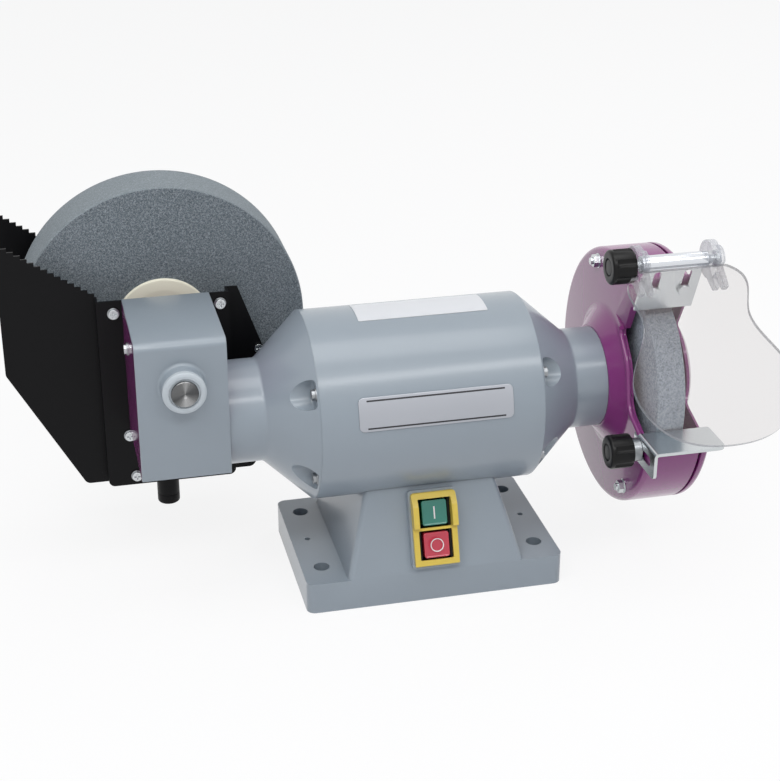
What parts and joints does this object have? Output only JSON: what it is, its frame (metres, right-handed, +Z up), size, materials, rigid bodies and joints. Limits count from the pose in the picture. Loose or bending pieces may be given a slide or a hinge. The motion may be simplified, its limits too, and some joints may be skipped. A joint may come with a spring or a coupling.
{
  "type": "bench grinder",
  "caption": "Bench grinder with a slow wet grinding wheel in a water tank on one side and a guarded fast dry wheel with eye shield and tool rest on the other.",
  "frame": {"origin": "centre of the four bench bolts, on the plane of the bench", "axes": "+X along the motor shaft towards the dry wheel, +Y to the back, +Z up"},
  "size_m": [0.4931, 0.2935, 0.2706],
  "materials": {
    "grey_paint": "gloss mid-grey stove enamel",
    "purple_paint": "gloss purple enamel",
    "black_tank": "satin black enamel on sheet steel",
    "zinc": "bright zinc plate",
    "steel": "ground steel",
    "chrome": "polished chrome plate",
    "silver_plate": "satin anodised plate",
    "white_label": "smooth white film",
    "yellow_plastic": "moulded yellow plastic",
    "green_plastic": "moulded green plastic",
    "red_plastic": "moulded red plastic",
    "black_plastic": "moulded black plastic",
    "clear_plastic": "clear acrylic",
    "wet_stone": "fine dark grinding stone",
    "dry_stone": "grey aluminium oxide grit",
    "blotter": "card washer",
    "cream_plastic": "moulded cream plastic",
    "copper": "varnished copper winding",
    "core_steel": "stacked core plates",
    "bronze": "sintered bronze",
    "cast_alloy": "cast alloy",
    "seal_rubber": "black rubber"
  },
  "bodies": {
    "frame": {"pedestal": "grey_paint", "bottom_plate": "black_tank", "bottom_plate_screws": "steel", "switch_bezel": "yellow_plastic", "switch_body": "black_plastic", "terminal_block": "black_plastic", "capacitor": "silver_plate", "capacitor_clip": "steel", "cable_gland": "black_plastic", "motor_shell": "grey_paint", "saddle_bolts": "steel", "stator_core": "core_steel", "windings": "copper", "end_bell_left": "grey_paint", "end_bell_right": "grey_paint", "end_bell_screws": "zinc", "bearing_outer_races": "steel", "badge_plate": "silver_plate", "top_label": "white_label", "gear_case": "purple_paint", "gear_case_cover": "grey_paint", "gear_case_screws": "zinc", "neck_screws": "zinc", "case_bushes": "bronze", "spindle_seal": "cream_plastic", "shaft_seal": "seal_rubber", "water_tank": "black_tank", "tank_mount_plate": "black_tank", "tank_screws": "zinc", "guard_inner": "purple_paint", "guard_cover": "purple_paint", "guard_bolts": "zinc", "tool_rest_stud": "zinc", "spark_plate_screws": "zinc"},
    "rotor": {"motor_shaft": "steel", "rotor_core": "core_steel", "rotor_end_rings": "cast_alloy", "worm": "steel", "bearing_inner_rings": "steel", "wheel_flanges": "zinc", "wheel_blotters": "blotter", "dry_wheel": "dry_stone", "spindle_nut": "zinc"},
    "wet_spindle_body": {"wet_spindle": "steel", "worm_wheel": "bronze", "wet_wheel": "wet_stone", "hub_flanges": "cream_plastic", "wet_wheel_nut": "zinc"},
    "on_button_body": {"on_button": "green_plastic"},
    "off_button_body": {"off_button": "red_plastic"},
    "rest": {"tool_rest": "zinc"},
    "rest_knob": {"tool_rest_knob": "black_plastic"},
    "spark_bracket": {"spark_plate": "zinc", "shield_rod": "chrome", "shield_bolt": "zinc"},
    "shield": {"eye_shield": "clear_plastic", "shield_clamps": "clear_plastic"},
    "shield_knob_body": {"shield_knob": "black_plastic"},
    "plug": {"drain_plug": "black_plastic"}
  },
  "joints": [
    {"name": "wet_spindle_spin", "type": "hinge", "parent": "frame", "child": "wet_spindle_body", "pos_m": [-0.1661, 0, 0.1693], "axis": [0, 1, 0], "continuous": true},
    {"name": "rotor_spin", "type": "hinge", "parent": "frame", "child": "rotor", "pos_m": [0, 0, 0.1293], "axis": [1, 0, 0], "continuous": true},
    {"name": "on_button_press", "type": "slide", "parent": "frame", "child": "on_button_body", "axis": [0, 0.9371, -0.3489], "range_m": [0, 0.003], "stiffness_N_per_m": 300},
    {"name": "off_button_press", "type": "slide", "parent": "frame", "child": "off_button_body", "axis": [0, 0.9371, -0.3489], "range_m": [0, 0.003], "stiffness_N_per_m": 300},
    {"name": "tool_rest_slide", "type": "slide", "parent": "frame", "child": "rest", "axis": [0, 1, 0], "range_m": [-0.0035, 0.001]},
    {"name": "rest_knob_turn", "type": "hinge", "parent": "frame", "child": "rest_knob", "pos_m": [0.12, -0.0785, 0.1086], "axis": [1, 0, 0], "range_deg": [0, 360]},
    {"name": "spark_plate_slide", "type": "slide", "parent": "frame", "child": "spark_bracket", "axis": [0, 0.3995, -0.9167], "range_m": [0, 0.004]},
    {"name": "shield_tilt", "type": "hinge", "parent": "spark_bracket", "child": "shield", "pos_m": [0.161, -0.064, 0.2368], "axis": [1, 0, 0], "range_deg": [-90, 20]},
    {"name": "shield_knob_turn", "type": "hinge", "parent": "spark_bracket", "child": "shield_knob_body", "pos_m": [0.12, -0.064, 0.2368], "axis": [1, 0, 0], "range_deg": [0, 360]},
    {"name": "drain_plug_pull", "type": "slide", "parent": "frame", "child": "plug", "axis": [0, 0, -1], "range_m": [0, 0.02]}
  ],
  "couplings": [
    {"joint": "rotor_spin", "follows": "wet_spindle_spin", "ratio": 22}
  ]
}
